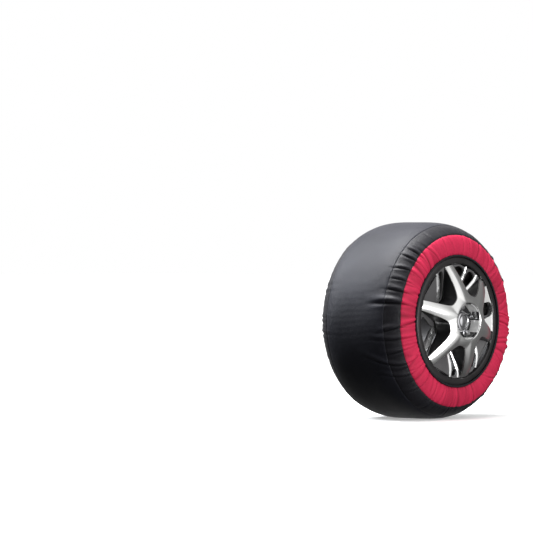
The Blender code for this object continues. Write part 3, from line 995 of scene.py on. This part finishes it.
def valve(rubber, brass, plastic):
    """The rubber stem with its bore, the pin in it and the screw cap on it."""
    centre = spot(VALVE_RADIUS, 0, VALVE_TURN)
    section = [(0, 104), (5.3, 104), (5.5, 108), (5.5, 146), (5.2, 151), (4.2, 154), (3.9, 156)]
    section += [(3.9, 164), (2.3, 164), (2.3, 141), (0, 140)]
    stem = lathe_object("valve_stem_rubber", in_mm(*section), centre, rubber, "wheel")
    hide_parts("valve_stem")
    pin = [(0, 142.5), (1.5, 142.5), (1.5, 158), (0.8, 158.5), (0.8, 162), (1.1, 162.4), (0.9, 163)]
    core = lathe_object("valve_core_pin", in_mm(*pin, (0, 163)), centre, brass, "valve_core", 20)
    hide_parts("valve_core")
    ribbed_cap(centre, plastic)


def ribbed_cap(centre, plastic):
    """The screw cap, with grip ribs round it; each ring has a radius, a depth and a share of the ribs."""
    ribs, per_rib = 16, 4
    outline = [(4.2, 165.5, 0), (4.25, 156, 0), (5.2, 156, 0.6), (5.4, 157, 1), (5.4, 166, 1)]
    outline += [(5.0, 168, 0.6), (4.2, 169, 0)]
    bm = bmesh.new()
    loops = []
    for radius, depth, share in outline:
        loop = []
        for i in range(ribs * per_rib):
            angle = math.tau * i / (ribs * per_rib)
            ridge = 0.5 * share * (0.5 + 0.5 * math.cos(ribs * angle))
            loop.append(bm.verts.new(round_axis(centre, (radius + ridge) * MM, depth * MM, angle)))
        loops.append(loop)
    skin(bm, loops, capped=True)
    made = make_object(bm, "valve_cap_ribbed", plastic, "valve_cap", 30)
    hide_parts("valve_cap")


def weight(zinc):
    """Stick-on balance weight: a row of small blocks on the barrel's inside."""
    first_turn, pitch, block = 205.4, 3.5, 2.9
    corners = in_mm((165, 30), (165, 50), (160.6, 49), (160.6, 31))
    bm = bmesh.new()
    for i in range(6):
        turn = first_turn + i * pitch
        ends = [[bm.verts.new(place(*corner, at)) for corner in corners] for at in (turn, turn + block)]
        skin(bm, ends, capped=True)
    made = make_object(bm, "balance_weight_blocks", zinc, "wheel", 30)
    bevelled(made, 0.8 * MM)
    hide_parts("balance_weight")


# Metals: dark and light colour, roughness, metallic, grain and coat.
METALS = {
    "silver_lacquer": ((0.74, 0.74, 0.73), (0.82, 0.82, 0.81), 0.3, 0.96, 60, 0.15),
    "silver_web_painted_highlight": ((0.74, 0.74, 0.73), (0.82, 0.82, 0.81), 0.3, 0.85, 60, 0.15),
    "machined_edge": ((0.74, 0.74, 0.74), (0.88, 0.88, 0.88), 0.22, 0.9, 90, 0.3),
    "anthracite_lacquer": ((0.016, 0.015, 0.016), (0.03, 0.027, 0.028), 0.4, 0.3, 50, 0.2),
    "grey_web": ((0.11, 0.108, 0.11), (0.15, 0.147, 0.15), 0.5, 0.15, 50, 0.1),
    "black_lacquer_and_painted_shade": ((0.006, 0.006, 0.007), (0.012, 0.012, 0.013), 0.45, 0.0, 50, 0.15),
    "silver_paint": ((0.78, 0.78, 0.77), (0.86, 0.86, 0.85), 0.35, 0.15, 60, 0.2),
    "zinc_steel": ((0.3, 0.3, 0.31), (0.5, 0.5, 0.51), 0.32, 1.0, 120),
    "chrome": ((0.75, 0.75, 0.77), (0.9, 0.9, 0.92), 0.1, 1.0, 80),
    "brass": ((0.5, 0.36, 0.14), (0.7, 0.52, 0.24), 0.3, 1.0, 120),
    "coated_zinc": ((0.32, 0.32, 0.33), (0.48, 0.48, 0.49), 0.5, 0.6, 80),
}


def build_wheel():
    metal = {name: metal_material(name, *look) for name, look in METALS.items()}
    rubber = rubber_material("tyre_rubber", (0.018, 0.018, 0.018), 0.8)
    valve_rubber = rubber_material("valve_rubber", (0.02, 0.02, 0.02), 0.6)
    plastic = rubber_material("black_plastic", (0.02, 0.02, 0.022), 0.35)
    nylon = rubber_material("grey_nylon", (0.25, 0.25, 0.26), 0.5)

    grey, bright, black = metal["grey_web"], metal["machined_edge"], metal["black_lacquer_and_painted_shade"]
    star = spoke_star(metal["silver_lacquer"], black)
    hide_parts("wheel_centre")
    hub_core(metal["silver_paint"], black)
    rim(metal["anthracite_lacquer"])
    for number, slots in WINDOWS.items():
        # Painted highlight: the sixth window's web is silver, the others grey.
        web = metal["silver_web_painted_highlight"] if number == BRIGHT_WEB else grey
        window_insert(number, slots, web, bright)
    window_insert(BRIGHT_WEB, [FLOOR_SLOT], grey, bright, 11 * MM)
    bolts(metal["zinc_steel"])
    cap(metal["chrome"], plastic)
    valve(valve_rubber, metal["brass"], plastic)
    weight(metal["coated_zinc"])
    for node, surface in (("tyre", rubber), ("centring_ring", nylon)):
        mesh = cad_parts[node].data
        mesh.materials.clear()
        mesh.materials.append(surface)
        mesh.shade_smooth()
        mesh.set_sharp_from_angle(angle=math.radians(35))


# -------- studio


def area_light(name, away, size, power, colour=(1, 1, 1)):
    """A soft light at a place counted from the wheel's centre, which it points at."""
    light = bpy.data.lights.new(name, "AREA")
    light.shape = "RECTANGLE"
    light.size, light.size_y = size
    light.energy = power
    light.color = colour
    made = add_object(name, light)
    made.location = spot(0, 0, 0) + Vector(away)
    made.rotation_mode = "QUATERNION"
    made.rotation_quaternion = (-Vector(away)).to_track_quat("-Z", "Y")


def grey_ramp(tree, value, span, stops):
    """Grey levels along a 0 to 1 value that stands for a span with zero in its middle."""
    return ramp(tree, value, [(at / span + 0.5, (level,) * 3) for at, level in stops])


def surroundings():
    """A soft studio seen in reflections: bright in front, at the back right and overhead, dark elsewhere.

    The camera itself sees plain white.
    """
    world = bpy.data.worlds.new("studio_world")
    bpy.context.scene.world = world
    world.use_nodes = True
    tree = world.node_tree
    background = tree.nodes["Background"]
    where = tree.nodes.new("ShaderNodeTexCoord").outputs["Generated"]
    parts = tree.nodes.new("ShaderNodeSeparateXYZ")
    tree.links.new(where, parts.inputs[0])
    ahead = maths(tree, "MULTIPLY", parts.outputs["Y"], -1.0)
    bearing = maths(tree, "ARCTAN2", parts.outputs["X"], ahead)
    bearing = maths(tree, "MULTIPLY_ADD", bearing, 1 / math.tau, 0.5)
    height = maths(tree, "MULTIPLY_ADD", parts.outputs["Z"], 0.5, 0.5)
    stops = [(-180, 0.2), (-150, 0.06), (-125, 0.02), (-36, 0.02), (-18, 0.8), (-5, 0.9), (30, 0.85)]
    stops += [(43, 0.12), (106, 0.12), (118, 0.7), (150, 0.6), (180, 0.2)]
    level = grey_ramp(tree, bearing, 360, stops)
    above = grey_ramp(tree, height, 2, [(-1.0, 0.0), (0.45, 0.0), (0.85, 0.6), (1.0, 0.6)])
    ground = [(-1.0, 0.0), (-0.75, 0.05), (-0.6, 0.5), (-0.12, 0.85), (0.05, 1.0), (1.0, 1.0)]
    below = grey_ramp(tree, height, 2, ground)
    glow = maths(tree, "MAXIMUM", maths(tree, "MULTIPLY", level, below), above)
    seen = tree.nodes.new("ShaderNodeLightPath").outputs["Is Camera Ray"]
    strength = maths(tree, "MAXIMUM", maths(tree, "MULTIPLY", glow, 1.25), seen)
    tree.links.new(strength, background.inputs["Strength"])
    background.inputs["Color"].default_value = (1, 1, 1, 1)


def pale_floor():
    """A pale floor, left out of the object's reflections and of the light that bounces on it."""
    made, tree, shader = new_material("pale_floor", (0.9, 0.9, 0.9), 0.8)
    grain = ramp(tree, noise(tree, 4.0, 2.0), [(0.2, (0.89,) * 3), (0.8, (0.91,) * 3)])
    tree.links.new(grain, shader.inputs["Base Color"])
    shader.inputs["Emission Color"].default_value = (1, 1, 1, 1)
    shader.inputs["Emission Strength"].default_value = 0.35
    bm = bmesh.new()
    bmesh.ops.create_grid(bm, x_segments=2, y_segments=2, size=60)
    mesh = bpy.data.meshes.new("floor")
    bm.to_mesh(mesh)
    bm.free()
    mesh.materials.append(made)
    floor = add_object("floor", mesh)
    floor.location.z = -0.5 * MM
    floor.visible_diffuse = False
    floor.visible_glossy = False


def studio():
    """A pale floor and soft lights."""
    pale_floor()
    sun = bpy.data.lights.new("overhead", "SUN")
    sun.energy = 1.9
    sun.angle = math.radians(40)
    above = add_object("overhead", sun)
    above.rotation_euler = (math.radians(-4), math.radians(-8), 0)
    area_light("key_above", (-0.4, 1.0, 3.2), (0.8, 0.8), 215)
    area_light("back_left", (-1.2, 3.2, 2.5), (0.8, 1.6), 210, (0.93, 0.96, 1.0))
    area_light("front_fill", (-0.8, -3.1, -0.4), (1.6, 1.2), 100)
    surroundings()
    bpy.context.scene.view_settings.view_transform = "Standard"


def camera():
    """A long lens at the photograph's angle, turned so that the wheel keeps its place in the frame."""
    azimuth, elevation = math.radians(VIEW_AZIMUTH), math.radians(VIEW_ELEVATION)
    back = Vector((math.sin(azimuth), -math.cos(azimuth), 0)) * math.cos(elevation)
    back.z = math.sin(elevation)
    lens = bpy.data.cameras.new("camera")
    lens.lens = VIEW_LENS
    lens.sensor_width = SENSOR
    lens.clip_end = 100
    made = add_object("camera", lens)
    made.location = spot(0, 0, 0) + back * VIEW_DISTANCE
    pan, tilt = math.radians(VIEW_PAN), math.radians(VIEW_TILT)
    made.rotation_euler = (math.pi / 2 - elevation + tilt, 0, azimuth + pan)
    bpy.context.scene.camera = made


camera()
studio()
build_sock()
build_wheel()
